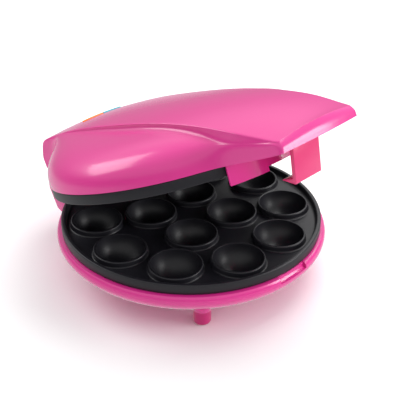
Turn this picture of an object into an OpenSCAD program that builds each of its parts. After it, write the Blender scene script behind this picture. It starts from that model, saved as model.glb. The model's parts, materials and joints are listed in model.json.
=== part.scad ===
// Small electric maker for ball-shaped cakes: two facing cast plates in a hinged pink case.
// Origin: on the table, under the middle of the whole object as it stands with its lid ajar.
// The front, with the nose and its clip, is towards -Y; +Z is up.

/* [Plates] */
// Outside diameter of each baking plate
plate_d = 200; // [190:1:240]
// Height of the rim where the two plates meet, above the table
rim_h = 44; // [44:0.5:60]
// Width of the raised rim round a plate
rim_w = 3.2; // [3:0.1:5]
// Depth from the rim down to the plate's floor
rim_depth = 5; // [4:0.5:6]
// Thickness of the cast floor
plate_t = 2.6; // [2.2:0.1:3.2]
// Diameter of each round baking hollow
cavity_d = 36; // [30:0.5:38]
// Wall of the cup round each hollow
cup_wall = 2.5; // [1.8:0.1:3]
// Distance of the four inner hollows from both centre lines
inner_offset = 22; // [21.8:0.1:24]
// Distance of the outer hollows' middles from the plate's edge
ring_inset = 27; // [25.5:0.25:27.5]
// Angle between neighbouring outer hollows
outer_step = 36; // [35:0.5:38]
// Gap between the two rims when the lid is shut
rim_gap = 0.5; // [0.4:0.1:1.5]

/* [Case] */
// Wall of the moulded case parts
wall = 2.4; // [1.8:0.1:3.2]
// Gap between the upper plate and the lid's lower edge
lid_gap = 0.3; // [0.2:0.1:1.5]
// Height of the lid's steep side wall
lid_side = 8; // [4:0.5:12]
// Height of the lid's round shoulder above its side wall
lid_shoulder = 20.5; // [20:0.5:24]
// Half of the width of the raised spine across the lid
spine_half = 42.7; // [40:0.1:46]
// Height of the spine's edge above the rim plane, at its highest
spine_top = 41; // [39:0.5:46]
// How much the spine is crowned from edge to middle
spine_crown = 3.5; // [1:0.5:5]
// How far the spine falls from its highest point to the nose
nose_fall = 21.3; // [18:0.1:23]
// Distance of the spine's highest point behind the plate centre
spine_apex = 10; // [0:1:16]
// Length of the nose in front of the plate's edge
nose_length = 42.5; // [38:0.5:50]
// Half of the width of the nose at its front edge
nose_half = 38.4; // [35:0.1:41]
// Slope of the nose's lower edge
nose_tilt = 6.6; // [3:0.2:8]

/* [Hinge] */
// How far the lid stands open at rest
rest_open = 21; // [0:1:60]
// Distance of the hinge axis behind the plate's edge
hinge_back = 18.2; // [17:0.1:24]
// Height of the hinge axis relative to the rim plane
hinge_z = -4.9; // [-6:0.1:-4]
// Half of the width of the hinge post
post_half = 43.7; // [42:0.1:48]
// Diameter of each hinge pin
pin_d = 5; // [3:0.25:6]
// Thickness of each hinge ear
ear_t = 9; // [6:0.5:10]
// Radius of the rounded end of each ear
ear_r = 8; // [6.5:0.25:8.5]

/* [Latch] */
// Half of the width of the clip
clip_half = 13.5; // [10:0.1:16]
// Thickness of the clip's plate
clip_t = 3; // [2:0.1:3.4]
// Diameter of the clip's pivot pin
clip_pin_d = 3; // [2:0.1:3.5]
// Lean of the hanging clip, towards the plates
clip_lean = 10.5; // [8:0.5:13]
// Length of the clip's plate
clip_len = 25.7; // [24:0.1:27]

/* [Feet and fixings] */
// Diameter of each foot
foot_d = 13; // [10:0.5:16]
// Distance of each foot's middle from the plate's edge
foot_inset = 17; // [16:0.5:26]
// Angle of each foot from the front or back
foot_angle = 40; // [38:1:46]
// Shank diameter of the case screws
screw_d = 3.4; // [2.6:0.1:3.8]
// Bore of the cord inlet
cord_bore = 8; // [6:0.25:10]
// Gap between pieces that are fixed to each other
fit = 0.3; // [0.15:0.05:0.5]
// Gap between a pin and the bore that turns on it
turn_fit = 0.2; // [0.1:0.05:0.4]

/* [Lamps and heaters] */
// Diameter of the tubular heaters
heater_d = 6; // [5:0.1:6.2]
// Half of the length of the lamp window
window_half = 20.5; // [16:0.5:24]
// Width of the lamp window
window_w = 4.6; // [3.5:0.1:6]
// Distance of the lamp window from the plate's back edge
window_inset = 15.5; // [12:0.5:20]

/* [Hidden] */
$fn = 64;

PINK = "#E8428F";
CLIP_PINK = "#EE3F86";
DEEP_PINK = "#D0187A";
CAST = "#26252C";
STEEL = "#B9BBC0";
SHEET = "#D5D7DA";
IVORY = "#EFE8D2";
RUBBER = "#3A3A40";
PHENOLIC = "#8A6A3C";
GLASS = "#FFB070";
e = 0.01;

// Plates and what hangs under them, measured down from the rim
plate_r = plate_d / 2;
cavity_r = cavity_d / 2;
cup_r = cavity_r + cup_wall;
floor_under = rim_depth + plate_t;
collar_w = 1.8;
collar_drop = 0.4;
outer_ring_r = plate_r - ring_inset;
inner_ring_r = inner_offset * sqrt(2);
inner_cups = [for (sx = [-1, 1], sy = [-1, 1]) [sx * inner_offset, sy * inner_offset]];
outer_cups = [for (s = [-1, 1], k = [0.5:1:3.5])
    outer_ring_r * [s * sin(k * outer_step), -cos(k * outer_step)]];
cups = concat(inner_cups, outer_cups);

// Screws: shank, head and the clearance round them
head_d = screw_d + 2.9;
head_h = 2;
small_screw_d = 2.5;
small_head_d = 5.4;
small_head_h = 1.6;
pilot = 0.1;
clearance = 0.4;

// Bosses under a plate, the reflector that they carry and the tube between
fixing_r = plate_r - 9;
fixing_angles = [0, 108, 180, 252];
boss_h = 4.5;
boss_d = screw_d + 3.6;
sheet_t = 0.8;
flange_z = floor_under + boss_h;
seat_z = flange_z + sheet_t;
flange_in = fixing_r - 0.4;
flange_out = fixing_r + 4;
pan_slope = 4;
pan_z = cup_r + 1.5;
post_d = 10;
post_clear = 12.8;
heater_r = (inner_ring_r + outer_ring_r) / 2;
heater_z = floor_under + heater_d / 2 + 0.2;
heater_gap = 15;
sleeve_wall = 0.8;
tail_d = 2.4;
clip_r = heater_r - heater_d / 2 - 7;
clip_z = heater_z + heater_d / 2 + 0.05;
clip_w = 8;
clip_tail = 4.5;
clip_sheet = 1.2;
clip_angles = [0, 90, 270];
clip_screw_d = 2.9;
pillar_d = 6;
fuse_d = 4;
strap_t = 0.8;
thermostat_d = 16;
thermostat_h = 8;

// Lower case, measured from the plate's edge and down from the rim
ledge_z = floor_under + fit;
dish = [for (q = [[-60, -33.8], [-34, -31.5], [-16, -27.5], [-5.5, -23.6], [0, -20.2],
    [3, -16.5], [3.9, -13], [3.4, -10], [2.2, -ledge_z]]) [plate_r + q[0], q[1]]];
dish_outer = concat([[0, -34.5]], dish);
well_z = 23.5;
screw_seat = seat_z + 7.1;
foot_signs = [[-1, -1], [1, -1], [-1, 1], [1, 1]];
foot_r = plate_r - foot_inset;
foot_h = rim_h - 32;
foot_round = 3.7;
stem_d = 5;
stem_h = 5;

// Lid outline
lid_r = plate_r + 1.5;
lid_edge = rim_gap + floor_under + lid_gap;
lid_base = rim_h + lid_edge;
dome_top_r = spine_half;
nose_start = plate_r - 2;
nose_reach = plate_r + nose_length;
nose_corner = 7;
nose_bow = 2.2;
spine_r = pow(nose_reach + spine_apex, 2) / (2 * nose_fall);
window_y = plate_r - window_inset;
ring_z = rim_h + rim_gap + floor_under + 0.3;
tab_t = 2.4;
ring_top = rim_h + rim_gap + seat_z + tab_t;
frame_gap = 0.4;
frame_top = 2.8;
holder_z = lid_base + 15;
holder_h = 6;
holder_half = [17, 8];
lamp_d = 4.8;
lamp_x = 8.5;
rear_screw_x = 20;
nose_screw = [30, -22];

// Hinge
hinge_y = plate_r + hinge_back;
hinge_h = rim_h + hinge_z;
post_top = rim_h + 3;
post_back = 5.8;
post_floor = rim_h - 23;
ear_x = 28;
ear_mid = ear_x + ear_t / 2;
heel_reach = 2.4;
heel_h = 12;
heel = [hinge_y + heel_reach, lid_base + heel_h];
rear_screw_y = hinge_y - 14;
inlet_z = rim_h - 13;
gland_d = cord_bore + 5;
gland_y = hinge_y + post_back + 0.2;
block_size = [26, 10, 11];
block_y = plate_r + 3;

// Latch, its recess in the lower case and the curtain behind it
latch_y = -(plate_r + 17.5);
latch_z = rim_h + 11.5;
clip_arm = clip_half - 3.6;
clip_top = [-9.1, -2];
clip_foot = clip_top + clip_len * [sin(clip_lean), -cos(clip_lean)];
catch_half = clip_half + 0.7;
catch_floor = floor_under + 4.2;
hook_depth = 2;
cheek_t = 3;
cheek_x = clip_arm + fit + 1.6;
skirt_angle = 25;
skirt_r = plate_r + 4;
skirt_drop = 5.8;
skirt_t = 2.4;
skirt_notch = 3.4;

// Furthest points front and back as the lid stands open, for the origin
function opened(p) = [
    hinge_y + (p[0] - hinge_y) * cos(rest_open) + (p[1] - hinge_h) * sin(rest_open),
    hinge_h - (p[0] - hinge_y) * sin(rest_open) + (p[1] - hinge_h) * cos(rest_open)];
front_y = opened([-nose_reach, lid_base + 5])[0];
back_y = opened(heel)[0];
centre_y = -(front_y + back_y) / 2;

// ---------- placing ----------
module base() translate([0, centre_y, 0]) children();
module lid() base() translate([0, hinge_y, hinge_h]) rotate([-rest_open, 0, 0])
    translate([0, -hinge_y, -hinge_h]) children();
module lower_half() base() translate([0, 0, rim_h]) children();
module upper_half() lid() translate([0, 0, rim_h + rim_gap]) mirror([0, 0, 1]) children();
module around(r, angles) for (a = angles) rotate([0, 0, a]) translate([0, -r, 0]) children();
module at_feet() for (s = foot_signs)
    translate([s[0] * foot_r * sin(foot_angle), s[1] * foot_r * cos(foot_angle), 0]) children();
module screw(d, wide, high, length) {
    translate([0, 0, -high]) cylinder(d = wide, h = high);
    translate([0, 0, -e]) cylinder(d = d, h = length + e);
}
module along_x(x0, x1) translate([x0, 0, 0]) rotate([90, 0, 90]) linear_extrude(x1 - x0) children();
module on_hinge(r, x) translate([0, hinge_y, hinge_h]) rotate([0, 90, 0])
    cylinder(r = r, h = 2 * x, center = true);

// ---------- profiles ----------
// Moves each point of an open outline to its left by d
function moved(p, d) = [for (i = [0:len(p) - 1])
    let (a = p[max(i - 1, 0)], b = p[min(i + 1, len(p) - 1)], t = (b - a) / norm(b - a))
    [max(0, p[i][0] - d * t[1]), p[i][1] + d * t[0]]];
function reversed(p) = [for (i = [len(p) - 1:-1:0]) p[i]];
// Round shoulder of the lid, as a quarter of an ellipse
function shoulder(inset) = [for (t = [0:9:90])
    [dome_top_r + (lid_r - inset - dome_top_r) * cos(t),
     lid_edge + lid_side + (lid_shoulder - inset) * sin(t)]];

// ---------- baking plate, heater and reflector, drawn downwards from the rim ----------
module baking_plate() color(CAST) difference() {
    union() {
        rotate_extrude() polygon([[0, -rim_depth], [plate_r - rim_w, -rim_depth],
            [plate_r - rim_w, 0], [plate_r, 0], [plate_r, -floor_under], [0, -floor_under]]);
        for (c = cups) translate([c[0], c[1], 0]) {
            translate([0, 0, -floor_under]) cylinder(r = cavity_r + collar_w,
                h = floor_under - collar_drop);
            intersection() {
                sphere(r = cup_r, $fn = 48);
                translate([0, 0, -cup_r - 1]) cylinder(r = cup_r + 1, h = cup_r - rim_depth);
            }
        }
        around(fixing_r, fixing_angles) translate([0, 0, -flange_z]) cylinder(d = boss_d, h = boss_h + 1);
        around(clip_r, clip_angles) translate([0, 0, -clip_z])
            cylinder(d = pillar_d, h = clip_z - rim_depth - 1);
    }
    for (c = cups) translate([c[0], c[1], 0]) {
        sphere(r = cavity_r, $fn = 48);
        translate([0, 0, -e]) cylinder(r = cavity_r, h = 1);
    }
    around(fixing_r, fixing_angles) translate([0, 0, -flange_z - 1])
        cylinder(d = screw_d + pilot, h = boss_h + 2.2);
    around(clip_r, clip_angles) translate([0, 0, -clip_z - 1])
        cylinder(d = clip_screw_d + pilot, h = 7);
}
module heater() color(STEEL) {
    rotate([0, 0, 90 + heater_gap]) translate([0, 0, -heater_z])
        rotate_extrude(angle = 360 - 2 * heater_gap) translate([heater_r, 0]) circle(d = heater_d);
    // both ends turn down through the reflector
    around(heater_r, [180 - heater_gap, 180 + heater_gap]) {
        translate([0, 0, -heater_z - heater_d / 2 - 1.4])
            cylinder(d = heater_d + 2 * sleeve_wall, h = heater_d + 1.2);
        translate([0, 0, 1.6 - pan_z]) cylinder(d = tail_d, h = pan_z - heater_z - 2);
    }
}
module heater_clips() color(STEEL) around(clip_r, clip_angles) difference() {
    reach = heater_r - clip_r + heater_d / 2 + 1;
    translate([-clip_w / 2, -reach, -clip_z - clip_sheet]) cube([clip_w, reach + clip_tail, clip_sheet]);
    translate([0, 0, -clip_z - 2]) cylinder(d = clip_screw_d + clearance, h = 3);
}
module clip_screws() color(STEEL) around(clip_r, clip_angles)
    translate([0, 0, -clip_z - clip_sheet]) screw(clip_screw_d, small_head_d, 1.7, 6);
module reflector() color(SHEET) difference() {
    union() {
        difference() {
            rotate_extrude() polygon([[0, -pan_z], [flange_in - pan_slope, -pan_z],
                [flange_in, -flange_z], [flange_in + sheet_t, -flange_z],
                [flange_in - pan_slope + sheet_t, -pan_z - sheet_t], [0, -pan_z - sheet_t]]);
            // the pan is notched round the posts that its flange sits on
            around(fixing_r, fixing_angles) translate([0, 0, -pan_z - 2])
                cylinder(d = post_clear, h = pan_z);
        }
        rotate_extrude() polygon([[flange_in - 0.4, -flange_z], [flange_out, -flange_z],
            [flange_out, -seat_z], [flange_in - 0.4, -seat_z]]);
    }
    around(fixing_r, fixing_angles) translate([0, 0, -seat_z - 1])
        cylinder(d = screw_d + 2 * clearance, h = 3);
    around(heater_r, [180 - heater_gap - 5, 180, 180 + heater_gap + 5])
        translate([0, 0, -pan_z - 2]) cylinder(d = 7, h = 4);
}

// ---------- lower half ----------
module lower_housing() base() color(PINK) difference() {
    union() {
        translate([0, 0, rim_h]) {
            rotate_extrude() polygon(concat(dish_outer, reversed(moved(dish_outer, wall))));
            translate([0, 0, -ledge_z - wall]) difference() {
                cylinder(r = plate_r + 1.6, h = wall);
                translate([0, 0, -1]) cylinder(r = plate_r - rim_w, h = wall + 2);
            }
            around(fixing_r, fixing_angles) translate([0, 0, -well_z])
                cylinder(d = post_d, h = well_z - seat_z);
        }
        at_feet() translate([0, 0, foot_h]) cylinder(d = foot_d + clearance, h = 8);
        hinge_post();
        // solid ground under the recess for the clip's hook
        translate([0, 0, rim_h]) along_x(-catch_half - wall, catch_half + wall)
            polygon([[-plate_r - 1.2, -catch_floor - wall], [5 - plate_r, -catch_floor - wall],
                [5 - plate_r, -ledge_z - 0.1], [-plate_r - 1.2, -ledge_z - 0.1]]);
    }
    translate([0, 0, rim_h]) around(fixing_r, fixing_angles) {
        translate([0, 0, -40]) cylinder(d = screw_d + clearance, h = 40);
        translate([0, 0, -40]) cylinder(d = head_d + 0.6, h = 40 - screw_seat);
    }
    at_feet() translate([0, 0, foot_h - 1]) cylinder(d = stem_d, h = stem_h + 1.5);
    // room behind the dish for the terminals, and the way to it
    translate([-25, plate_r - 12, post_floor]) cube([50, 16, rim_h - 11 - post_floor]);
    translate([-25, plate_r + 2, post_floor]) cube([50, hinge_back - 1.5, rim_h - post_floor]);
    on_hinge(pin_d / 2, 60);
    for (x = [-ear_mid, ear_mid]) translate([x, 0, 0]) ear_slot();
    translate([0, hinge_y, inlet_z]) rotate([90, 0, 0]) cylinder(d = gland_d, h = 40, center = true);
    translate([-6, plate_r + 8, post_floor - 6]) cylinder(d = 2.6, h = 10);
    catch_recess();
}
// The clip's hook swings into this recess and under the plate's rim
module catch_recess() translate([0, 0, rim_h]) along_x(-catch_half, catch_half) {
    out = -plate_r - 8;
    polygon([[out, -catch_floor], [-plate_r - 0.6, -catch_floor], [1.2 - plate_r, -floor_under - 1.8],
        [1.2 - plate_r, -7], [out, -7]]);
}
// Block that carries the hinge, behind the dish
module hinge_post() difference() {
    along_x(-post_half, post_half) polygon([[plate_r - 8, rim_h - 26], [plate_r + 8, rim_h - 29],
        [hinge_y - 4, rim_h - 27], [hinge_y + post_back - 1, hinge_h - 6],
        [hinge_y + post_back, hinge_h + 4], [hinge_y + post_back - 3, post_top],
        [plate_r + 5, post_top], [plate_r + 3, post_top - 2], [plate_r + 3, rim_h - 11],
        [plate_r - 4, rim_h - 12]]);
    translate([0, 0, post_floor]) cylinder(r = flange_out + 2 * fit, h = 40);
}
module ear_slot() {
    slot = ear_t + 2 * fit + clearance;
    low = hinge_h - ear_r - 1.5;
    along_x(-slot / 2, slot / 2) polygon([[hinge_y - ear_r - 3, post_top + 1],
        [hinge_y - ear_r - 3, low], [hinge_y + 20, low], [hinge_y + 20, post_top + 1]]);
}
// The front of the rim is undercut, and the clip's hook holds there
module lower_plate() lower_half() color(CAST) difference() {
    baking_plate();
    translate([-catch_half, -plate_r - 2, -floor_under - 1])
        cube([2 * catch_half, 2 + hook_depth, floor_under - 1.9]);
}
module lower_heater() lower_half() heater();
module lower_heater_clips() lower_half() heater_clips();
module lower_clip_screws() lower_half() clip_screws();
module lower_reflector() lower_half() reflector();
module lower_plate_screws() lower_half() color(STEEL)
    around(fixing_r, fixing_angles) translate([0, 0, -screw_seat])
        screw(screw_d, head_d, head_h, screw_seat - floor_under + 0.6);
module feet() base() color(DEEP_PINK) at_feet() {
    rotate_extrude() polygon(concat([[0, 0]],
        [for (t = [0:15:90]) [foot_d / 2 - foot_round * (1 - sin(t)), foot_round * (1 - cos(t))]],
        [[foot_d / 2, foot_h], [0, foot_h]]));
    translate([0, 0, foot_h - e]) cylinder(d = stem_d, h = stem_h);
}
module terminal_block() base() color(IVORY) difference() {
    translate([-block_size[0] / 2, block_y, post_floor]) cube(block_size);
    for (x = [-8.5, 0, 8.5]) translate([x, block_y + 5, post_floor + 7])
        rotate([90, 0, 0]) cylinder(d = 3, h = 12, center = true);
    translate([-4.25, block_y + 5, post_floor - 1]) cylinder(d = 3.4, h = 14);
}
module terminal_screw() base() color(STEEL)
    translate([-4.25, block_y + 5, post_floor + block_size[2]]) mirror([0, 0, 1])
        screw(2.9, 5.2, 1.8, block_size[2]);
module cord_gland() base() color(RUBBER) translate([0, gland_y, inlet_z]) rotate([90, 0, 0])
    difference() {
        union() {
            translate([0, 0, -3]) cylinder(d = gland_d + 3.5, h = 2.6);
            translate([0, 0, -1]) cylinder(d = gland_d - 0.2, h = 7);
        }
        translate([0, 0, -5]) cylinder(d = cord_bore, h = 14);
    }
module thermal_fuse() lower_half() color("silver")
    translate([-6, 0, -floor_under - fuse_d / 2 - 0.2]) rotate([0, 90, 0]) {
        cylinder(d = fuse_d, h = 12);
        translate([0, 0, -4]) cylinder(d = 1, h = 20);
    }
module fuse_strap() lower_half() color(STEEL) difference() {
    drop = fuse_d + clearance + sheet_t;
    translate([-3, -6.5, -floor_under - drop]) cube([6, 13, drop]);
    translate([-4, -fuse_d / 2 - 0.3, -floor_under - fuse_d - clearance])
        cube([8, fuse_d + 0.6, fuse_d + clearance + 1]);
}
module hinge_pins() base() color(STEEL) for (s = [-1, 1])
    translate([s * (ear_x - 3.4), hinge_y, hinge_h]) rotate([0, s * 90, 0])
        cylinder(d = pin_d, h = post_half - ear_x + 3);

// ---------- lid ----------
// Outline of spine and nose from above, inset by d
module spine_plan(d) {
    n = nose_half - d;
    f = nose_reach - d;
    side = [[spine_half - d, heel[0]], [spine_half - d, -nose_start - 10],
        [n + 1.2, nose_corner + 1 - f], [n - 0.5, nose_corner * 0.35 - f],
        [n - nose_corner * 0.6, nose_bow * 0.7 - f], [n - 16, nose_bow * 0.25 - f]];
    polygon(concat(side, [[0, -f]], [for (p = reversed(side)) [-p[0], p[1]]]));
}
// Crowned top of the spine: a cross-section turned about a far axis below
module spine_solid(d) translate([0, spine_apex, rim_h + spine_top - spine_r]) rotate([0, 90, 0])
    rotate_extrude($fn = 360) polygon(concat(
        [for (k = [-1.1:1.1 / 6:1.11]) [spine_r - d + spine_crown * (1 - k * k), k * spine_half]],
        [[spine_r - 80, spine_half * 1.1], [spine_r - 80, -spine_half * 1.1]]));
module spine_body(d, low) intersection() {
    translate([0, 0, low]) linear_extrude(60) spine_plan(d);
    spine_solid(d);
    // slopes down at the back
    along_x(-spine_half - 20, spine_half + 20) polygon([[-2 * plate_r, 0], [heel[0] - d, 0],
        [heel[0] - d, heel[1] - d * 0.5], [heel[0] - 22 - d, lid_base + 31 - d],
        [-2 * plate_r, lid_base + 60]]);
}
module dome(d, low) rotate_extrude() polygon(concat([[0, low], [lid_r - d, low]],
    [for (p = shoulder(d)) [p[0], rim_h + p[1]]], [[0, rim_h + lid_edge + lid_side + lid_shoulder - d]]));
module nose_plane() translate([0, -nose_start, lid_base]) rotate([-nose_tilt, 0, 0]) children();
// Lens-shaped outline: two arcs that meet in points
module window_shape(d) {
    r = (window_half * window_half + window_w * window_w / 4) / window_w;
    intersection() {
        translate([0, r - window_w / 2]) circle(r = r + d, $fn = 480);
        translate([0, window_w / 2 - r]) circle(r = r + d, $fn = 480);
    }
}
module at_nose_screws() nose_plane() for (s = [-1, 1]) translate([s * nose_screw[0], nose_screw[1], 0])
    children();
module at_rear_screws() for (s = [-1, 1]) translate([s * rear_screw_x, rear_screw_y, lid_base]) children();
module upper_cover() lid() color(PINK) difference() {
    union() {
        difference() {
            union() {
                dome(0, lid_base);
                spine_body(0, lid_base - 2);
            }
            dome(wall, lid_base - 1);
            spine_body(wall, lid_base - 3);
        }
        // posts for the screws and for the lamp holder
        intersection() {
            union() {
                at_nose_screws() translate([0, 0, frame_top]) cylinder(d = 7, h = 30);
                at_rear_screws() translate([0, 0, frame_top]) cylinder(d = 7, h = 30);
                translate([0, window_y, holder_z + holder_h]) for (x = [-1, 1], y = [-1, 1])
                    translate([x * (holder_half[0] - 4), y * (holder_half[1] - 2.4), 0])
                        cylinder(d = 4, h = 30);
            }
            spine_body(wall / 2, lid_base);
        }
    }
    // flat under the back, sloping up under the nose
    translate([-60, -nose_start, lid_base - 20]) cube([120, nose_start + hinge_y + 40, 20]);
    nose_plane() translate([-60, -80, -20]) cube([120, 82, 20]);
    at_nose_screws() cylinder(d = small_screw_d + pilot, h = 12);
    at_rear_screws() cylinder(d = small_screw_d + pilot, h = 14);
    translate([0, window_y, lid_base]) linear_extrude(50) window_shape(0);
}
module upper_frame() lid() color(PINK) difference() {
    opening_r = plate_r - rim_w - 0.4;
    union() {
        // ring that the plate, the reflector and the cover close on
        translate([0, 0, ring_z]) difference() {
            cylinder(r = lid_r - wall - fit, h = ring_top - ring_z);
            translate([0, 0, -1]) cylinder(r = opening_r - 0.4, h = 20);
        }
        translate([0, 0, rim_h + rim_gap + seat_z]) around(fixing_r, fixing_angles)
            translate([-5, -7.2, 0]) cube([10, 10.5, tab_t]);
        // floor of the nose
        intersection() {
            spine_body(wall + fit, lid_base - 3);
            nose_plane() translate([-60, -80, frame_gap]) cube([120, 83, frame_top - frame_gap]);
            difference() {
                translate([-60, -2 * plate_r, lid_base - 2]) cube([120, plate_r + rim_w, 40]);
                translate([0, 0, lid_base - 3]) cylinder(r = opening_r, h = 60);
            }
        }
        // floor of the hinge block and its two ears
        intersection() {
            spine_body(wall + fit, lid_base - 3);
            difference() {
                translate([-60, hinge_y - 38, lid_base + frame_gap]) cube([120, 60, frame_top - frame_gap]);
                translate([0, 0, lid_base - 3]) cylinder(r = opening_r, h = 60);
            }
        }
        for (x = [-ear_mid, ear_mid]) translate([x, 0, 0]) ear();
        skirt();
        // cheeks for the clip's pin
        for (x = [-cheek_x, cheek_x]) translate([x, latch_y, latch_z]) along_x(-cheek_t / 2, cheek_t / 2)
            polygon([[-4, -4], [4, -4], [4, 3.4], [-4, 3.4]]);
    }
    // way through for the clip
    translate([-clip_arm - fit, latch_y - 10.2, lid_base - 6]) cube([2 * (clip_arm + fit), 20, 14]);
    translate([-60, latch_y, latch_z]) rotate([0, 90, 0]) cylinder(d = clip_pin_d, h = 120);
    at_nose_screws() translate([0, 0, -3]) cylinder(d = small_screw_d + 2 * clearance, h = 12);
    at_rear_screws() translate([0, 0, -3]) cylinder(d = small_screw_d + 2 * clearance, h = 12);
    translate([0, 0, rim_h + rim_gap + seat_z - 1]) around(fixing_r, fixing_angles)
        cylinder(d = screw_d + clearance, h = 6);
    on_hinge(pin_d / 2 + turn_fit, 60);
}
module ear() {
    translate([-ear_t / 2, hinge_y, hinge_h]) rotate([0, 90, 0]) cylinder(r = ear_r, h = ear_t);
    along_x(-ear_t / 2, ear_t / 2) polygon([[hinge_y - ear_r, hinge_h + 1],
        [hinge_y + ear_r - 3, hinge_h + 5],
        [heel[0] - wall - 1.6, lid_base + 1.5], [hinge_y - ear_r - 1, lid_base + 1.5]]);
}
// Curtain under the nose that closes the gap between the rims at the front
module skirt() difference() {
    translate([0, 0, rim_h - skirt_drop]) rotate([0, 0, -90 - skirt_angle])
        rotate_extrude(angle = 2 * skirt_angle) translate([skirt_r - skirt_t, 0])
            square([skirt_t, lid_edge + skirt_drop + 1.6]);
    translate([-clip_half - 1.5, -skirt_r - 5, rim_h - skirt_drop - 1])
        cube([2 * clip_half + 3, 10, skirt_notch + 1]);
    // lower where the lid's side wall comes down
    for (x = [-60, spine_half - wall - 2 * fit]) translate([x, -skirt_r - 5, lid_base - fit])
        cube([60 - spine_half + wall + 2 * fit, 20, 10]);
}
module upper_plate() upper_half() baking_plate();
module upper_heater() upper_half() heater();
module upper_heater_clips() upper_half() heater_clips();
module upper_clip_screws() upper_half() clip_screws();
module upper_reflector() upper_half() reflector();
module upper_plate_screws() upper_half() color(STEEL) around(fixing_r, fixing_angles)
    translate([0, 0, -seat_z - tab_t]) screw(screw_d, head_d, head_h, tab_t + sheet_t + boss_h);
module cover_screws() lid() color(STEEL) {
    at_nose_screws() translate([0, 0, frame_gap]) screw(small_screw_d, small_head_d, small_head_h, 11);
    at_rear_screws() translate([0, 0, frame_gap]) screw(small_screw_d, small_head_d, small_head_h, 11);
}
module thermostat() upper_half() {
    color(PHENOLIC) translate([0, 0, -floor_under - thermostat_h])
        cylinder(d = thermostat_d, h = thermostat_h);
    color(STEEL) for (x = [-7.5, 2.5]) translate([x, -0.4, -floor_under - thermostat_h - 4.5])
        cube([5, 0.8, 5]);
}
module lamp_holder() lid() color(IVORY) translate([0, window_y, holder_z]) difference() {
    translate([-holder_half[0], -holder_half[1], 0]) cube([2 * holder_half[0], 2 * holder_half[1], holder_h]);
    for (x = [-lamp_x, lamp_x]) translate([x, 0, 3.6]) {
        rotate([0, 90, 0]) cylinder(d = lamp_d + clearance, h = 13, center = true);
        translate([-6.5, -lamp_d / 2 - 0.2, 0]) cube([13, lamp_d + clearance, 5]);
    }
}
module neon_lamps() lid() color(GLASS) for (x = [-lamp_x, lamp_x])
    translate([x, window_y, holder_z + 3.6]) rotate([0, 90, 0]) cylinder(d = lamp_d, h = 11, center = true);
module lens(s) lid() intersection() {
    translate([0, window_y, holder_z + holder_h + 0.3]) linear_extrude(30) intersection() {
        window_shape(-0.1);
        translate([s > 0 ? 0.05 : -40.05, -10]) square([40, 20]);
    }
    spine_solid(-0.4);
}
module orange_lens() color("#F08A20") lens(-1);
module cyan_lens() color("#18B8C0") lens(1);
module latch_pin() lid() color(STEEL) translate([0, latch_y, latch_z]) rotate([0, 90, 0])
    cylinder(d = clip_pin_d, h = 2 * (cheek_x + cheek_t / 2), center = true);
// Clip: barrel on the pin, arm out to the plate, and a hook turned inwards
module latch_clip() lid() color(CLIP_PINK) translate([0, latch_y, latch_z]) difference() {
    union() {
        rotate([0, 90, 0]) cylinder(d = clip_pin_d + 5, h = 2 * clip_arm, center = true);
        along_x(-clip_arm, clip_arm) polygon([[-1, -3.6], [-1, 3.6], clip_top + [0.6, 1.2],
            clip_top + [1.6, -4]]);
        along_x(-clip_half, clip_half) {
            translate(clip_top) rotate(clip_lean) translate([0, -clip_len]) square([clip_t, clip_len]);
            polygon([for (p = [[0, 0], [1, 3.8], [10.4, 3.6], [11.7, 2.9], [1.2, -0.2]]) clip_foot + p]);
        }
    }
    rotate([0, 90, 0]) cylinder(d = clip_pin_d + 2 * turn_fit, h = 60, center = true);
}

lower_housing();
lower_plate();
lower_heater();
lower_heater_clips();
lower_clip_screws();
lower_reflector();
lower_plate_screws();
feet();
terminal_block();
terminal_screw();
cord_gland();
thermal_fuse();
fuse_strap();
hinge_pins();
upper_cover();
upper_frame();
upper_plate();
upper_heater();
upper_heater_clips();
upper_clip_screws();
upper_reflector();
upper_plate_screws();
cover_screws();
thermostat();
lamp_holder();
neon_lamps();
orange_lens();
cyan_lens();
latch_pin();
latch_clip();
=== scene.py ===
# %% [markdown]
# # A small pink maker for ball-shaped cakes
# This notebook dresses a finished CAD model of a kitchen appliance: two round baking plates in a
# hinged plastic case. The CAD part stays as it is and gives every place and size. Each piece that
# the eye meets is then modelled again as a maker would shape it, with soft edges and real finishes.

# %% Load the frame
import json
import math

import bmesh
import bpy
from mathutils import Matrix, Vector


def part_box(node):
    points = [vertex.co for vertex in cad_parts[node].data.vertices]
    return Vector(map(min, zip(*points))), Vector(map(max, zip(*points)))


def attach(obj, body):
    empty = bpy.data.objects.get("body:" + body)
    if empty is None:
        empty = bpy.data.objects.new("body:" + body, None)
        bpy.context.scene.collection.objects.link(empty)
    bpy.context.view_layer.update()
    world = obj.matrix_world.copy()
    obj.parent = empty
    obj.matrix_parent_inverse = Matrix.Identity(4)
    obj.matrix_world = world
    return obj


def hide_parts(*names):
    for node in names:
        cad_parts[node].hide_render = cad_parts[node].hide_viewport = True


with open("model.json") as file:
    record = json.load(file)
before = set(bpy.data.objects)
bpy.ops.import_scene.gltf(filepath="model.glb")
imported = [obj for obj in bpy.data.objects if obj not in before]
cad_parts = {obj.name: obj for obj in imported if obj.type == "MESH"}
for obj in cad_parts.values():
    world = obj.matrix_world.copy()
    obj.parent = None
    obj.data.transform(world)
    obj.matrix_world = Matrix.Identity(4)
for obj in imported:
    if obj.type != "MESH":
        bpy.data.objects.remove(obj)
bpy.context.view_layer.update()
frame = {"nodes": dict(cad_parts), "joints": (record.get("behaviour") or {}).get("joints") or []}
MM = 0.001

# %% [markdown]
# The plates are round, so one plate's box gives the centre, the radius and the height at which
# the two rims meet. The lid is modelled shut, where its shape is easy to think about, and then
# swung open about the hinge to the angle at which it rests.

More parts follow.
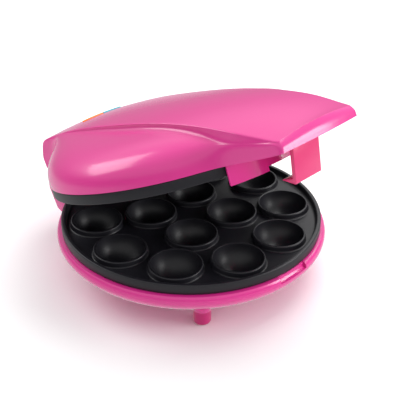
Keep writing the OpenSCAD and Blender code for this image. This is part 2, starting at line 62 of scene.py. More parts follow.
# %% Places taken from the frame
plate_low, plate_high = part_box("lower_plate")
PLATE_R = (plate_high.x - plate_low.x) / 2
CENTRE = Vector((0, plate_high.y - PLATE_R, 0))
RIM_Z = plate_high.z
hinge = next(j for j in frame["joints"] if j["name"] == "lid_hinge")
HINGE = Vector(hinge["pos_m"])
REST_OPEN = -math.radians(hinge["range_deg"][0])
LID_OPEN = (Matrix.Translation(HINGE) @ Matrix.Rotation(-REST_OPEN, 4, "X")
            @ Matrix.Translation(-HINGE))
print("plate radius", round(PLATE_R / MM, 1), "rim", round(RIM_Z / MM, 1),
      "lid open", round(math.degrees(REST_OPEN)), "degrees")


# %% [markdown]
# ## Camera, floor and light
# A product picture is usually taken from a little above with a long lens, so that round plates
# look like calm ellipses. The floor is a plain pale sweep. The light is a big soft box over the
# object, with one more behind it and one in front: glossy plastic shows them as broad pale fields.

# %% Camera
CAMERA_TURN = math.radians(-45.85)
CAMERA_RISE = math.radians(30.39)
CAMERA_FAR = 0.6804
CAMERA_SLIDE = Vector((6.87 * MM, 7.58 * MM))
FOCAL_IN_WIDTHS = 877.95 / 400

back = Vector((math.sin(CAMERA_TURN) * math.cos(CAMERA_RISE),
               -math.cos(CAMERA_TURN) * math.cos(CAMERA_RISE), math.sin(CAMERA_RISE)))
right = Vector((math.cos(CAMERA_TURN), math.sin(CAMERA_TURN), 0))
up = back.cross(right)
camera_data = bpy.data.cameras.new("camera")
camera_data.sensor_width = 36
camera_data.lens = 36 * FOCAL_IN_WIDTHS
camera = bpy.data.objects.new("camera", camera_data)
bpy.context.scene.collection.objects.link(camera)
camera.location = (CENTRE + Vector((0, 0, RIM_Z)) + back * CAMERA_FAR
                   + right * CAMERA_SLIDE.x + up * CAMERA_SLIDE.y)
camera.rotation_euler = (-back).to_track_quat("-Z", "Y").to_euler()
bpy.context.scene.camera = camera


# %% Lights
LIGHT_AIM = Vector((0, 0, 0.05))


def soft_box(name, place, size, watts):
    light = bpy.data.lights.new(name, "AREA")
    light.shape = "RECTANGLE"
    light.size, light.size_y = size
    light.energy = watts
    lamp = bpy.data.objects.new(name, light)
    lamp.location = place
    lamp.rotation_euler = (LIGHT_AIM - Vector(place)).to_track_quat("-Z", "Y").to_euler()
    bpy.context.scene.collection.objects.link(lamp)


soft_box("key_box", (0.6, 0.1, 1.05), (0.95, 0.95), 9)
soft_box("back_box", (-0.35, 1.05, 0.85), (0.9, 0.6), 5)
soft_box("front_box", (0.75, -1.15, 0.45), (0.7, 0.6), 9)

# %% [markdown]
# The room round the table is a little darker near the horizon, as a real studio is behind its
# lamps. Glossy plastic shows that as a deeper tone between two pale ones. The camera itself
# sees only white.

# %% Room
SKY = [(0.0, 0.75), (0.36, 0.7), (0.44, 0.28), (0.56, 0.3), (0.68, 0.8), (1.0, 0.85)]
world = bpy.data.worlds.new("studio")
world.use_nodes = True
sky = world.node_tree
direction = sky.nodes.new("ShaderNodeTexCoord")
split = sky.nodes.new("ShaderNodeSeparateXYZ")
height = sky.nodes.new("ShaderNodeMapRange")
ramp = sky.nodes.new("ShaderNodeValToRGB")
seen = sky.nodes.new("ShaderNodeLightPath")
choose = sky.nodes.new("ShaderNodeMix")
choose.data_type = "RGBA"
choose.inputs["B"].default_value = (1, 1, 1, 1)
height.inputs["From Min"].default_value = -1
sky.links.new(direction.outputs["Generated"], split.inputs["Vector"])
sky.links.new(split.outputs["Z"], height.inputs["Value"])
sky.links.new(height.outputs["Result"], ramp.inputs["Fac"])
sky.links.new(ramp.outputs["Color"], choose.inputs["A"])
sky.links.new(seen.outputs["Is Camera Ray"], choose.inputs["Factor"])
sky.links.new(choose.outputs["Result"], sky.nodes["Background"].inputs["Color"])
while len(ramp.color_ramp.elements) < len(SKY):
    ramp.color_ramp.elements.new(1.0)
for stop, (at, grey) in zip(ramp.color_ramp.elements, SKY):
    stop.position = at
    stop.color = (grey, grey, grey, 1)
bpy.context.scene.world = world
bpy.context.scene.view_settings.view_transform = "Standard"


# %% [markdown]
# ## Helpers for materials
# A colour is written as sRGB hex, as a paint chart gives it, and turned to linear light once.
# One function adds a node, sets its values and links its inputs.

# %% Material helpers
def linear(hex_colour):
    values = [int(hex_colour[i:i + 2], 16) / 255 for i in (1, 3, 5)]
    return (*(v / 12.92 if v <= 0.04045 else ((v + 0.055) / 1.055) ** 2.4 for v in values), 1.0)


def add(tree, kind, links=None, **settings):
    node = tree.nodes.new(kind)
    for key, value in settings.items():
        if hasattr(node, key):
            setattr(node, key, value)
        else:
            node.inputs[key.replace("_", " ")].default_value = value
    for socket, source in (links or {}).items():
        tree.links.new(source, node.inputs[socket])
    return node


def blank_material(name):
    material = bpy.data.materials.new(name)
    material.use_nodes = True
    tree = material.node_tree
    return material, tree, tree.nodes["Principled BSDF"]


def set_shader(shader, **values):
    for key, value in values.items():
        shader.inputs[key.replace("_", " ")].default_value = value


# %% [markdown]
# ### Moulded ABS
# The case is injection-moulded ABS from a polished tool: a glossy skin that is not quite flat.
# The skin waves by a few hundredths of a millimetre over some centimetres, and there is a very
# fine texture below it, so reflections have soft edges.

# %% Glossy plastic
def moulded_plastic(name, colour, deep, roughness=0.24, coat=0.5):
    material, tree, shader = blank_material(name)
    place = add(tree, "ShaderNodeTexCoord").outputs["Object"]
    cloud = add(tree, "ShaderNodeTexNoise", {"Vector": place}, Scale=1 / (40 * MM), Detail=2.0)
    tint = add(tree, "ShaderNodeMix", {"Factor": cloud.outputs["Fac"]}, data_type="RGBA")
    tint.inputs["A"].default_value = linear(colour)
    tint.inputs["B"].default_value = linear(deep)
    tree.links.new(tint.outputs["Result"], shader.inputs["Base Color"])
    wave = add(tree, "ShaderNodeTexNoise", {"Vector": place}, Scale=1 / (25 * MM), Detail=1.0)
    grain = add(tree, "ShaderNodeTexNoise", {"Vector": place}, Scale=1 / (0.6 * MM), Detail=2.0)
    soft = add(tree, "ShaderNodeBump", {"Height": wave.outputs["Fac"]}, Strength=0.35, Distance=0.15 * MM)
    fine = add(tree, "ShaderNodeBump", {"Height": grain.outputs["Fac"], "Normal": soft.outputs["Normal"]},
               Strength=0.12, Distance=0.02 * MM)
    tree.links.new(fine.outputs["Normal"], shader.inputs["Normal"])
    spread = add(tree, "ShaderNodeMapRange", {"Value": grain.outputs["Fac"]})
    spread.inputs["To Min"].default_value = roughness * 0.85
    spread.inputs["To Max"].default_value = roughness * 1.15
    tree.links.new(spread.outputs["Result"], shader.inputs["Roughness"])
    set_shader(shader, IOR=1.54, Coat_Weight=coat, Coat_Roughness=0.12)
    return material


pink_abs = moulded_plastic("glossy_pink_abs", "#DE3090", "#DA2C8B")
clip_abs = moulded_plastic("glossy_pink_abs_clip", "#E23277", "#DE2E73")
# The feet get the case's pink made darker and deeper: painted shade for the shadow under the base. Their
# rougher, uncoated skin is the rubber's own finish.
foot_rubber = moulded_plastic("pink_rubber_painted_shade", "#C81070", "#BE0C6A", 0.45, 0.0)


# %% [markdown]
# ### Coated cast aluminium
# A baking plate is die-cast aluminium under a grey-black non-stick coat. The coat is a little
# rough, with a fine orange-peel texture, and its tone drifts slightly from place to place.

# %% Non-stick coat
def non_stick(name, colour="#17161B"):
    material, tree, shader = blank_material(name)
    place = add(tree, "ShaderNodeTexCoord").outputs["Object"]
    orange_peel = add(tree, "ShaderNodeTexNoise", {"Vector": place}, Scale=1 / (1.2 * MM), Detail=3.0)
    bump = add(tree, "ShaderNodeBump", {"Height": orange_peel.outputs["Fac"]}, Strength=0.25,
               Distance=0.05 * MM)
    tree.links.new(bump.outputs["Normal"], shader.inputs["Normal"])
    cloud = add(tree, "ShaderNodeTexNoise", {"Vector": place}, Scale=1 / (30 * MM), Detail=3.0)
    tint = add(tree, "ShaderNodeMix", {"Factor": cloud.outputs["Fac"]}, data_type="RGBA")
    tint.inputs["A"].default_value = linear(colour)
    tint.inputs["B"].default_value = linear("#201F26")
    tree.links.new(tint.outputs["Result"], shader.inputs["Base Color"])
    rough = add(tree, "ShaderNodeMapRange", {"Value": cloud.outputs["Fac"]})
    rough.inputs["To Min"].default_value = 0.34
    rough.inputs["To Max"].default_value = 0.44
    tree.links.new(rough.outputs["Result"], shader.inputs["Roughness"])
    set_shader(shader, IOR=1.45)
    return material


coated_cast = non_stick("nonstick_coated_cast_aluminium")


# %% Metals, lenses and small parts
def metal(name, colour, roughness, streak_mm=0.4):
    material, tree, shader = blank_material(name)
    place = add(tree, "ShaderNodeTexCoord").outputs["Object"]
    stretch = add(tree, "ShaderNodeMapping", {"Vector": place})
    stretch.inputs["Scale"].default_value = (1, 12, 1)
    lines = add(tree, "ShaderNodeTexNoise", {"Vector": stretch.outputs["Vector"]},
                Scale=1 / (streak_mm * 12 * MM), Detail=4.0)
    rough = add(tree, "ShaderNodeMapRange", {"Value": lines.outputs["Fac"]})
    rough.inputs["To Min"].default_value = roughness * 0.7
    rough.inputs["To Max"].default_value = roughness * 1.3
    tree.links.new(rough.outputs["Result"], shader.inputs["Roughness"])
    set_shader(shader, Base_Color=linear(colour), Metallic=1.0)
    return material


def plain_plastic(name, colour, roughness):
    material, tree, shader = blank_material(name)
    place = add(tree, "ShaderNodeTexCoord").outputs["Object"]
    grain = add(tree, "ShaderNodeTexNoise", {"Vector": place}, Scale=1 / (0.5 * MM), Detail=2.0)
    bump = add(tree, "ShaderNodeBump", {"Height": grain.outputs["Fac"]}, Strength=0.3, Distance=0.03 * MM)
    tree.links.new(bump.outputs["Normal"], shader.inputs["Normal"])
    set_shader(shader, Base_Color=linear(colour), Roughness=roughness, IOR=1.5)
    return material


def lens_plastic(name, colour, glow):
    material, tree, shader = blank_material(name)
    place = add(tree, "ShaderNodeTexCoord").outputs["Object"]
    cloud = add(tree, "ShaderNodeTexNoise", {"Vector": place}, Scale=1 / (6 * MM), Detail=1.0)
    tint = add(tree, "ShaderNodeMix", {"Factor": cloud.outputs["Fac"]}, data_type="RGBA")
    tint.inputs["A"].default_value = linear(colour)
    tint.inputs["B"].default_value = linear(glow)
    tree.links.new(tint.outputs["Result"], shader.inputs["Base Color"])
    tree.links.new(tint.outputs["Result"], shader.inputs["Emission Color"])
    set_shader(shader, Roughness=0.2, IOR=1.4, Emission_Strength=0.22)
    return material


stainless = metal("brushed_stainless_steel", "#B9BABD", 0.32)
aluminised = metal("aluminised_sheet_steel", "#C9CBCE", 0.38)
zinc = metal("zinc_plated_steel", "#A9ADB3", 0.3)
tube_steel = metal("heater_tube_steel", "#8C8782", 0.42)
ivory_nylon = plain_plastic("ivory_nylon", "#DAD3BE", 0.5)
black_rubber = plain_plastic("black_rubber", "#1C1C1F", 0.6)
phenolic = plain_plastic("brown_phenolic", "#5A3A22", 0.45)
orange_lens = lens_plastic("orange_acrylic", "#EC7A14", "#F7A046")
cyan_lens = lens_plastic("cyan_acrylic", "#12AEB8", "#3CC6CC")
lamp_glass = lens_plastic("neon_lamp_glass", "#F2C9A4", "#F7DCC0")

FINISHES = {
    pink_abs: ["lower_housing", "upper_cover", "upper_frame"],
    clip_abs: ["latch_clip"], foot_rubber: ["feet"], coated_cast: ["lower_plate", "upper_plate"],
    tube_steel: ["lower_heater", "upper_heater"], aluminised: ["lower_reflector", "upper_reflector"],
    stainless: ["lower_heater_clips", "upper_heater_clips", "fuse_strap", "hinge_pins", "latch_pin"],
    zinc: ["lower_clip_screws", "upper_clip_screws", "lower_plate_screws", "upper_plate_screws",
           "cover_screws", "terminal_screw", "thermal_fuse"],
    ivory_nylon: ["terminal_block", "lamp_holder"], black_rubber: ["cord_gland"],
    phenolic: ["thermostat"], lamp_glass: ["neon_lamps"], orange_lens: ["orange_lens"],
    cyan_lens: ["cyan_lens"]}


def finish(piece, material):
    piece.data.materials.clear()
    piece.data.materials.append(material)


for material, names in FINISHES.items():
    for name in names:
        finish(frame["nodes"][name], material)


# %% [markdown]
# ## Helpers for shaping
# Most pieces of this object are turned or moulded, so a few helpers carry the work. One spins an
# outline round an upright axis, as a lathe would. The others weld, smooth, join and place pieces.

# %% Shaping helpers
def in_edit_mode(piece, work):
    bpy.ops.object.select_all(action="DESELECT")
    piece.select_set(True)
    bpy.context.view_layer.objects.active = piece
    bpy.ops.object.mode_set(mode="EDIT")
    bpy.ops.mesh.select_all(action="SELECT")
    work()
    bpy.ops.object.mode_set(mode="OBJECT")
    return piece


def apply_modifier(piece, kind, **settings):
    bpy.ops.object.select_all(action="DESELECT")
    piece.select_set(True)
    bpy.context.view_layer.objects.active = piece
    modifier = piece.modifiers.new(kind.lower(), kind)
    for key, value in settings.items():
        setattr(modifier, key, value)
    bpy.ops.object.modifier_apply(modifier=modifier.name)
    return piece


def mesh_piece(name, points, edges=(), faces=()):
    mesh = bpy.data.meshes.new(name)
    mesh.from_pydata([Vector(p) * MM for p in points], edges, faces)
    piece = bpy.data.objects.new(name, mesh)
    bpy.context.scene.collection.objects.link(piece)
    return piece


def weld(piece, reach=0.02 * MM):
    def work():
        bpy.ops.mesh.remove_doubles(threshold=reach)
        bpy.ops.mesh.normals_make_consistent(inside=False)
    return in_edit_mode(piece, work)


def spun(name, outline, steps=96, centre=(0, 0)):
    """A closed outline of (radius, height) points in mm, turned round an upright axis."""
    points = [(centre[0] + r, centre[1], z) for r, z in outline]
    on_axis = outline[0][0] == 0 and outline[-1][0] == 0
    loop = [(i, (i + 1) % len(points)) for i in range(len(points) - (1 if on_axis else 0))]
    piece = mesh_piece(name, points, loop)
    in_edit_mode(piece, lambda: bpy.ops.mesh.spin(
        steps=steps, angle=math.tau, center=(centre[0] * MM, centre[1] * MM, 0), axis=(0, 0, 1)))
    return weld(piece)


def arc(middle, radius, start, end, count=6):
    """Points along an arc, with angles in degrees."""
    turns = [math.radians(start + (end - start) * i / (count - 1)) for i in range(count)]
    return [(middle[0] + radius * math.cos(t), middle[1] + radius * math.sin(t)) for t in turns]


def smooth(piece, degrees=35):
    bpy.ops.object.select_all(action="DESELECT")
    piece.select_set(True)
    bpy.context.view_layer.objects.active = piece
    bpy.ops.object.shade_smooth_by_angle(angle=math.radians(degrees))
    return piece


def joined(name, pieces):
    bpy.ops.object.select_all(action="DESELECT")
    for piece in pieces:
        piece.select_set(True)
    bpy.context.view_layer.objects.active = pieces[0]
    bpy.ops.object.join()
    pieces[0].name = name
    return pieces[0]


def place(piece, matrix, flip=False):
    piece.data.transform(matrix)
    if flip:
        piece.data.flip_normals()
    return piece


def dress(piece, material, body, slot, *nodes):
    finish(piece, material)
    smooth(piece)
    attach(piece, body)
    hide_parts(*nodes)
    print(piece.name, len(piece.data.polygons), "faces")
    return piece


RIM_AT = Matrix.Translation(CENTRE + Vector((0, 0, RIM_Z)))
LID_AT = LID_OPEN @ RIM_AT

# %% [markdown]
# ## Baking plates
# Each plate is one casting: a shallow tray with a rounded rim, and twelve half-round cups. A thin
# collar stands round each cup, with a small fillet at its foot where molten metal could flow.
# The tray is spun, one cup is spun and copied, and the tray gets a hole under each cup.

# %% Sizes of a plate, in mm from the rim
R = PLATE_R / MM
RIM_W = 3.2
TRAY_Z = -5.0
UNDER_Z = -7.6
CUP_R = 18.0
CUP_WALL = 2.5
COLLAR = 1.8
COLLAR_TOP = -0.4
INNER = 22.0
RING = 73.0
STEP = math.radians(36)
cups = [(x, y) for x in (-INNER, INNER) for y in (-INNER, INNER)]
cups += [(s * RING * math.sin(k * STEP), -RING * math.cos(k * STEP))
         for s in (-1, 1) for k in (0.5, 1.5, 2.5, 3.5)]
print(len(cups), "cups of", 2 * CUP_R, "mm")


# %% Tray and cups
def tray():
    soft = 0.9
    outline = [(0, TRAY_Z), (60, TRAY_Z)]
    outline += arc((R - RIM_W - 2.0, TRAY_Z + 2.0), 2.0, -90, 0)
    outline += arc((R - RIM_W + soft, -soft), soft, 180, 90)
    outline += arc((R - soft, -soft), soft, 90, 0)
    outline += [(R, -4.0)] + arc((R - 0.6, UNDER_Z + 0.6), 0.6, 0, -90, 4)
    outline += [(60, UNDER_Z), (0, UNDER_Z)]
    return spun("tray", outline, 192)


def cup(centre):
    out = CUP_R + COLLAR
    soft = COLLAR / 2
    outline = arc((0, 0), CUP_R, -90, -2, 16) + [(CUP_R, COLLAR_TOP - soft)]
    outline += arc((CUP_R + soft, COLLAR_TOP - soft), soft, 180, 0, 7)[1:]
    outline += arc((out + 1.2, TRAY_Z + 1.2), 1.2, 180, 270, 5)
    outline += [(out + 1.2, TRAY_Z - 0.5), (out - 0.5, TRAY_Z - 0.8)]
    outline += arc((0, 0), CUP_R + CUP_WALL, -24, -90, 12)
    outline[0] = (0, -CUP_R)
    outline[-1] = (0, -CUP_R - CUP_WALL)
    return spun("cup", outline, 48, centre)


def plate(name):
    disc = tray()
    for x, y in cups:
        bpy.ops.mesh.primitive_cylinder_add(vertices=48, radius=(CUP_R + 1) * MM, depth=20 * MM,
                                            location=(x * MM, y * MM, TRAY_Z * MM))
        drill = bpy.context.object
        apply_modifier(disc, "BOOLEAN", operation="DIFFERENCE", object=drill, solver="EXACT")
        bpy.data.objects.remove(drill)
    return joined(name, [disc] + [cup(c) for c in cups])


lower = plate("baking_plate_lower")
upper = lower.copy()
upper.data = lower.data.copy()
upper.name = "baking_plate_upper"
bpy.context.scene.collection.objects.link(upper)
RIM_GAP = 0.5
upside_down = Matrix.Scale(-1, 4, (0, 0, 1))
place(upper, LID_AT @ Matrix.Translation((0, 0, RIM_GAP * MM)) @ upside_down, flip=True)
place(lower, RIM_AT)
dress(lower, coated_cast, "base", "cast_coated", "lower_plate")
dress(upper, coated_cast, "lid", "cast_coated", "upper_plate")

# %% [markdown]
# ## The lid's cover
# The cover is the piece that gives the object its looks: a broad spine runs from the hinge over
# the top and out to a flat nose, and a smooth wing swells from each side of it down to the round
# rim. Such a shape is best drawn as a coarse cage that a subdivision surface rounds. The cage is
# a grid: its rows are stations along the spine, and its columns run from one rim over the
# spine to the other rim. Two more grids close the nose and the heel.

# %% Where the spine's edge runs
LID_EDGE = 8.4
LID_R = 101.5
SPINE_TOP = 40.4
CROWN = 2.9
SPINE_HALF = 42.7
COVER_WALL = 2.4


def edge_height(y):
    if y >= 0:
        return SPINE_TOP - 4.2 * (min(y, 114.6) / 88.4) ** 3 - max(0, y - 114.6) * 2.6
    flare = 0.9 * (max(0, -y - 123) / 16) ** 2
    return SPINE_TOP - 21.0 * (-y / 141) ** 2.345 + flare


def edge_half(y):
    if y > 88:
        return SPINE_HALF + min(1.0, (y - 88) / 20)
    if y > -106:
        return SPINE_HALF
    return SPINE_HALF - 5.2 * (-y - 106) / 35.5


def on_rim(degrees):
    turn = math.radians(degrees)
    return LID_R * math.sin(turn), LID_R * math.cos(turn)


# Each station: place along the spine, share of the step's height that the wing reaches, rim
# point, rim height.
STATIONS = [
    (118.2, 0.60, (43.7, 118.3), 8.4), (114.4, 0.75, (43.7, 114.9), 8.4),
    (108.0, 0.85, (43.7, 109.0), 8.4), (99.5, 0.95, (44.2, 100.5), 8.4),
    (92.0, 0.97, (46.5, 94.0), 8.4), (84.0, 1.00, on_rim(30.5), 8.4),
    (70.0, 0.93, on_rim(40), 8.4), (50.0, 0.87, on_rim(54), 8.4), (28.0, 0.83, on_rim(69), 8.4),
    (5.0, 0.80, on_rim(84), 8.4), (-18.0, 0.80, on_rim(100), 8.4), (-40.0, 0.80, on_rim(116), 8.4),
    (-60.0, 0.76, on_rim(130), 8.4), (-76.0, 0.69, on_rim(141), 8.4), (-88.0, 0.58, on_rim(149), 8.4),
    (-98.0, 0.52, (46.8, -94.5), 8.6), (-108.0, 0.50, (44.2, -105.0), 9.4),
    (-119.0, 0.50, (42.3, -118.0), 10.7), (-129.5, 0.50, (40.8, -129.8), 12.0),
    (-135.6, 0.50, (39.8, -136.8), 12.9)]
CROWN_STEPS = (0.94, 0.66, 0.33)
WALL_UP = 7.0
RIM_SUPPORT = 0.8


def side_column(station):
    """Points from the rim up to just under the spine's edge, for the +X side."""
    y, share, (bx, by), bz = station
    ez, half = edge_height(y), edge_half(y)
    wall_z = bz + WALL_UP
    foot = Vector((half + 0.5, y, wall_z + share * (ez - wall_z)))
    under = Vector((half, y, ez - min(1.2, 0.4 * (ez - foot.z) + 0.3)))
    wall = Vector((bx, by, wall_z))
    curve = []
    for s in (0.25, 0.5, 0.75):
        turn = s * math.pi / 2
        flat = wall.lerp(foot, 1 - math.cos(turn))
        curve.append(Vector((flat.x, flat.y, wall.z + (foot.z - wall.z) * math.sin(turn))))
    return [Vector((bx, by, bz)), Vector((bx, by, bz + RIM_SUPPORT)), wall, *curve, foot, under]


def strip_row(y):
    """Points of the crowned strip from the edge to the middle, for the +X side."""
    ez, half = edge_height(y), edge_half(y)
    return [Vector((half * u, y, ez + CROWN * (1 - u * u))) for u in (1.0, *CROWN_STEPS, 0.0)]


def mirrored(row):
    return row + [Vector((-p.x, p.y, p.z)) for p in reversed(row[:-1])]


def end_face(corner, middle_y):
    """A grid below the last station: corner points downwards, bowed to middle_y at x = 0."""
    rows = []
    for low in corner:
        half = low.x
        rows.append(mirrored([Vector((half * u, low.y + (middle_y - corner[-1].y) * (1 - u * u), low.z
                                      + (1 - u * u) * CROWN * (low.z - corner[-1].z)
                                      / (corner[0].z - corner[-1].z)))
                              for u in (1.0, *CROWN_STEPS, 0.0)]))
    return rows


def grid(name, rows):
    wide = len(rows[0])
    points = [p for row in rows for p in row]
    faces = [(r * wide + c, r * wide + c + 1, (r + 1) * wide + c + 1, (r + 1) * wide + c)
             for r in range(len(rows) - 1) for c in range(wide - 1)]
    return mesh_piece(name, points, faces=faces)


# %% The cage
NOSE_EDGE_Y, NOSE_FRONT_Y, NOSE_LOW = -138.5, -141.0, 13.6
NOSE_HALF, HEEL_HALF = 37.5, 43.7
rows = [mirrored(side_column(s) + strip_row(s[0])) for s in STATIONS]
count = len(side_column(STATIONS[0]))
top_z = edge_height(NOSE_EDGE_Y)


def nose_corner(i):
    fall = i / count
    roll = math.radians(90 * min(1, fall / 0.65))
    return Vector((NOSE_HALF + 1.7 * fall, NOSE_EDGE_Y + (NOSE_FRONT_Y - NOSE_EDGE_Y) * math.sin(roll),
                   top_z - (top_z - NOSE_LOW) * fall))


def heel_corner(i):
    fall = i / count
    top = edge_height(119.4)
    return Vector((HEEL_HALF, 119.9 + 0.9 * math.sin(math.pi * min(1, fall * 1.2) / 1.2) - 0.6 * fall ** 4,
                   top - (top - LID_EDGE) * fall))


nose = [nose_corner(i) for i in range(count + 1)]
heel = [heel_corner(i) for i in range(count + 1)]
nose_top = [Vector((NOSE_HALF * u, NOSE_EDGE_Y - 1.2 * (1 - u * u), top_z + CROWN * (1 - u * u)))
            for u in (1.0, *CROWN_STEPS, 0.0)]
heel_top = [Vector((HEEL_HALF * u, 119.9, heel[0].z + CROWN * (1 - u * u)))
            for u in (1.0, *CROWN_STEPS, 0.0)]
rows.append(mirrored(list(reversed(nose[1:])) + nose_top))
rows.insert(0, mirrored(list(reversed(heel[1:])) + heel_top))
cover = joined("lid_cover", [grid("strip", rows), grid("nose_face", end_face(nose, -142.7)),
                             grid("heel_face", end_face(heel, 119.3))])
weld(cover, 0.05 * MM)
apply_modifier(cover, "SUBSURF", levels=3, render_levels=3)
apply_modifier(cover, "SOLIDIFY", thickness=COVER_WALL * MM, offset=-1)
apply_modifier(cover, "BEVEL", width=0.5 * MM, segments=2, limit_method="ANGLE",
               angle_limit=math.radians(60))
place(cover, LID_AT)
dress(cover, pink_abs, "lid", "pink_plastic", "upper_cover")

# %% [markdown]
# ## Lamp windows
# A narrow window with blunt ends is cut in the top of the cover. Two coloured lenses share it, an orange one
# for "power" and a blue-green one for "ready". Each stands a little proud and follows the crown.

# %% Lenses
WINDOW_Y, WINDOW_HALF, WINDOW_W = 84.0, 20.5, 5.6


def window_side(x, inset=0.0):
    return WINDOW_W / 2 * math.sqrt(1 - min(1.0, abs(x) / WINDOW_HALF) ** 4) - inset


def cover_top(x, y):
    return edge_height(y) + CROWN * (1 - (x / edge_half(y)) ** 2)


def lens_strip(name, x0, x1, inset, below, above, steps=24):
    """The part of the window from x0 to x1, as a strip that follows the cover."""
    ring_low, ring_high = [], []
    xs = [x0 + (x1 - x0) * i / steps for i in range(steps + 1)]
    for side in (1, -1):
        for x in (xs if side == 1 else reversed(xs)):
            y = WINDOW_Y + side * max(0.02, window_side(x, inset))
            ring_low.append((x, y, cover_top(x, y) - below))
            ring_high.append((x, y, cover_top(x, y) + above))
    n = len(ring_low)
    faces = [(i, (i + 1) % n, n + (i + 1) % n, n + i) for i in range(n)]
    half = steps + 1
    for i in range(steps):
        faces.append((i, i + 1, n - 2 - i, n - 1 - i))
        faces.append((n + i + 1, n + i, 2 * n - 1 - i, 2 * n - 2 - i))
    return weld(mesh_piece(name, ring_low + ring_high, faces=faces), 0.001 * MM)


window_cutter = lens_strip("window_cutter", -WINDOW_HALF + 0.05, WINDOW_HALF - 0.05, 0.0, 6, 6, 48)
place(window_cutter, LID_AT)
apply_modifier(cover, "BOOLEAN", operation="DIFFERENCE", object=window_cutter, solver="EXACT")
bpy.data.objects.remove(window_cutter)
for name, side, material in (("orange_lens", -1, orange_lens), ("cyan_lens", 1, cyan_lens)):
    x0, x1 = sorted((side * 0.15, side * (WINDOW_HALF - 0.7)))
    lens = lens_strip(name + "_cap", x0, x1, 0.1, 2.2, 0.6)
    apply_modifier(lens, "BEVEL", width=0.3 * MM, segments=2, limit_method="ANGLE",
                   angle_limit=math.radians(50))
    place(lens, LID_AT)
    dress(lens, material, "lid", name, name)
smooth(cover)

# %% [markdown]
# ## The base
# The base is a shallow dish. Its lip stands round the lower plate, and a block at the back carries
# the hinge. At the front the lip is cut away where the clip's hook goes in. Every sharp edge
# gets a bevel, because a moulded edge always has a small radius that catches light.

# %% Prisms and drilling
def prism(name, x0, x1, outline):
    """An outline of (y, z) points, drawn out along x."""
    n = len(outline)
    points = [(x, y, z) for x in (x0, x1) for y, z in outline]
    faces = [tuple(range(n)), tuple(range(2 * n - 1, n - 1, -1))]
    faces += [(i, (i + 1) % n, n + (i + 1) % n, n + i) for i in range(n)]
    return weld(mesh_piece(name, points, faces=faces), 0.001 * MM)


def cut(piece, tool):
    apply_modifier(piece, "BOOLEAN", operation="DIFFERENCE", object=tool, solver="EXACT")
    bpy.data.objects.remove(tool)
    return piece


def rounded(piece, width=0.5, degrees=40, segments=2):
    return apply_modifier(piece, "BEVEL", width=width * MM, segments=segments, limit_method="ANGLE",
                          angle_limit=math.radians(degrees))


def peg(name, x, y, z0, z1, r, steps=32):
    bpy.ops.mesh.primitive_cylinder_add(vertices=steps, radius=r * MM, depth=(z1 - z0) * MM,
                                        location=(x * MM, y * MM, (z0 + z1) / 2 * MM))
    piece = bpy.context.object
    piece.name = name
    bpy.ops.object.transform_apply(location=True)
    return piece


# %% Dish
DISH = [(0, -34.5), (R - 60, -33.8), (R - 34, -31.5), (R - 25, -29.8), (R - 16, -27.5), (R - 10.5, -25.6),
        (R - 5.5, -23.4), (R - 2.2, -21.6), (R - 0.2, -20.0), (R + 1.4, -18.2), (R + 2.6, -16.3),
        (R + 3.4, -14.6), (R + 3.8, -13.0), (R + 3.8, -11.6), (R + 3.4, -10.0), (R + 2.9, -8.9),
        (R + 2.2, -8.1), (R + 1.2, -7.9)]
INSIDE = [(R - 3.2, -7.9), (R - 3.2, -10.3), (R + 0.6, -10.5), (R + 1.2, -13.0), (R + 0.2, -15.3),
          (R - 1.6, -17.8), (R - 7.2, -21.3), (R - 17, -25.1), (R - 34, -29.1), (R - 60, -31.4), (0, -32.1)]
dish = spun("dish", DISH + INSIDE, 192)
CATCH_HALF, CATCH_FLOOR = 14.2, 11.8
cut(dish, prism("catch_cut", -CATCH_HALF, CATCH_HALF, [
    (-R - 8, -CATCH_FLOOR), (-R - 0.6, -CATCH_FLOOR), (1.2 - R, -9.4), (1.2 - R, -6), (-R - 8, -6)]))
for turn in (0, 108, 180, 252):
    angle = math.radians(turn)
    x, y = (R - 9) * math.sin(angle), -(R - 9) * math.cos(angle)
    cut(dish, peg("screw_well", x, y, -40, -20, 3.2))
rounded(dish, 0.35, 50)
catch_ground = prism("catch_ground", -CATCH_HALF - 1.5, CATCH_HALF + 1.5, [
    (-R - 1.3, -14.6), (6 - R, -14.6), (6 - R, -8.3), (0.4 - R, -8.3), (0.2 - R, -10.2),
    (-R - 1.3, -CATCH_FLOOR - 0.05)])
rounded(catch_ground, 0.25)
hinge_y = (HINGE.y - CENTRE.y) / MM
hinge_z = (HINGE.z - RIM_Z) / MM
post = prism("post", -43.7, 43.7, [
    (R - 2, -25.5), (R + 8, -29), (hinge_y - 4, -27), (hinge_y + 4.8, hinge_z - 6),
    (hinge_y + 5.8, hinge_z + 4), (hinge_y + 2.8, 3), (R + 5, 3), (R + 3, 1), (R + 3, -11), (R - 2, -12)])
EAR_X = 32.5
for x in (-EAR_X, EAR_X):
    cut(post, prism("ear_room", x - 5.05, x + 5.05, [
        (hinge_y - 11, 6), (hinge_y - 11, hinge_z - 9.6), (hinge_y + 20, hinge_z - 9.6), (hinge_y + 20, 6)]))
cut(post, prism("terminal_room", -25, 25, [
    (R + 2, -22.9), (R + 16.6, -22.9), (R + 16.6, 0.6), (R + 2, 0.6)]))
rounded(post, 1.0, 40, 3)
hole = peg("gland_hole", 0, 0, -10, 10, 6.6)
place(hole, Matrix.Translation((0, (hinge_y + 5) * MM, -13 * MM))
      @ Matrix.Rotation(math.pi / 2, 4, "X"))
cut(post, hole)
FOOT_TOP, FOOT_R, FOOT_ROLL = 32, 6.5, 3.2
FOOT_H = RIM_Z / MM - FOOT_TOP
FOOT_RING, FOOT_TURN = 83, math.radians(40)
FEET_AT = [(sx * FOOT_RING * math.sin(FOOT_TURN), sy * FOOT_RING * math.cos(FOOT_TURN))
           for sx in (-1, 1) for sy in (-1, 1)]
bosses = [rounded(peg("boss", x, y, -FOOT_TOP, -24.5, 6.75, 48), 0.3) for x, y in FEET_AT]
base = joined("base_housing", [dish, catch_ground, post, *bosses])
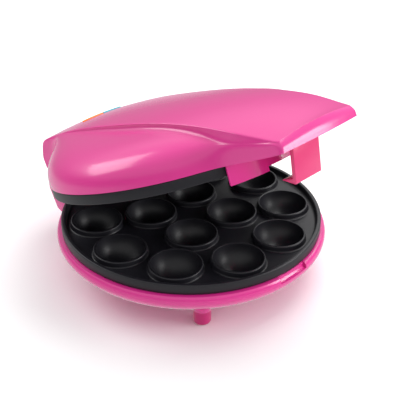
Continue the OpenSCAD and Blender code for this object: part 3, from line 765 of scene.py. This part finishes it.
place(base, RIM_AT)
dress(base, pink_abs, "base", "pink_plastic", "lower_housing")

# %% Feet
foot_outline = [(0, 0)] + arc((FOOT_R - FOOT_ROLL, FOOT_ROLL), FOOT_ROLL, -90, 0, 7)
foot_outline += [(FOOT_R, FOOT_H), (0, FOOT_H)]
pegs = joined("round_feet", [spun("foot", foot_outline, 48, at) for at in FEET_AT])
place(pegs, Matrix.Translation(CENTRE))
# The feet's darker pink is painted shade.
dress(pegs, foot_rubber, "base", "foot_rubber", "feet")

# %% [markdown]
# ## The clip
# A bent strip of plastic hangs from a pin under the nose. Its hook points inwards, to go under the
# lower plate's rim when the lid is shut. Only the CAD plate has the undercut that this takes.

# %% Clip
PIN_Y, PIN_Z = -117.5, 11.5
CLIP_TOP = Vector((-9.1, -2.0))
LEAN = math.radians(10.5)
CLIP_LENGTH, CLIP_HALF, ARM_HALF = 25.7, 13.5, 9.9
ALONG = Vector((math.sin(LEAN), -math.cos(LEAN)))
ACROSS = Vector((math.cos(LEAN), math.sin(LEAN)))
CLIP_FOOT = CLIP_TOP + ALONG * CLIP_LENGTH


def at_pin(points):
    return [(PIN_Y + p[0], PIN_Z + p[1]) for p in points]


inner = CLIP_TOP + ACROSS * 3
strip = prism("clip", -CLIP_HALF, CLIP_HALF, at_pin([
    CLIP_TOP, CLIP_FOOT, CLIP_FOOT + Vector((1.2, -0.2)), CLIP_FOOT + Vector((11.7, 2.9)),
    CLIP_FOOT + Vector((10.4, 3.6)), CLIP_FOOT + Vector((2.4, 3.75)), inner]))
rounded(strip, 0.5, 30, 3)
arm = prism("arm", -ARM_HALF, ARM_HALF, at_pin([
    (-1, -3.6), (-1, 3.6), CLIP_TOP + Vector((0.6, 1.2)), CLIP_TOP + Vector((1.6, -4))]))
rounded(arm, 0.4)
barrel = peg("barrel", 0, 0, -ARM_HALF, ARM_HALF, 4.0, 48)
place(barrel, Matrix.Translation((0, PIN_Y * MM, PIN_Z * MM))
      @ Matrix.Rotation(math.pi / 2, 4, "Y"))
rounded(barrel, 0.4)
clip = joined("hook_clip", [strip, arm, barrel])
place(clip, LID_AT)
dress(clip, clip_abs, "clip", "clip_plastic", "latch_clip")

# %% Floor
FLOOR_SIZE = 2.4
bpy.ops.object.select_all(action="DESELECT")
bpy.ops.mesh.primitive_plane_add(size=FLOOR_SIZE, location=(0, 0, 0))
floor = bpy.context.object
floor.name = "floor"
paper, paper_tree, paper_shader = blank_material("white_paper_sweep")
set_shader(paper_shader, Base_Color=linear("#FAFAFA"), Roughness=0.9, Specular_IOR_Level=0.2)
finish(floor, paper)
floor.visible_glossy = False
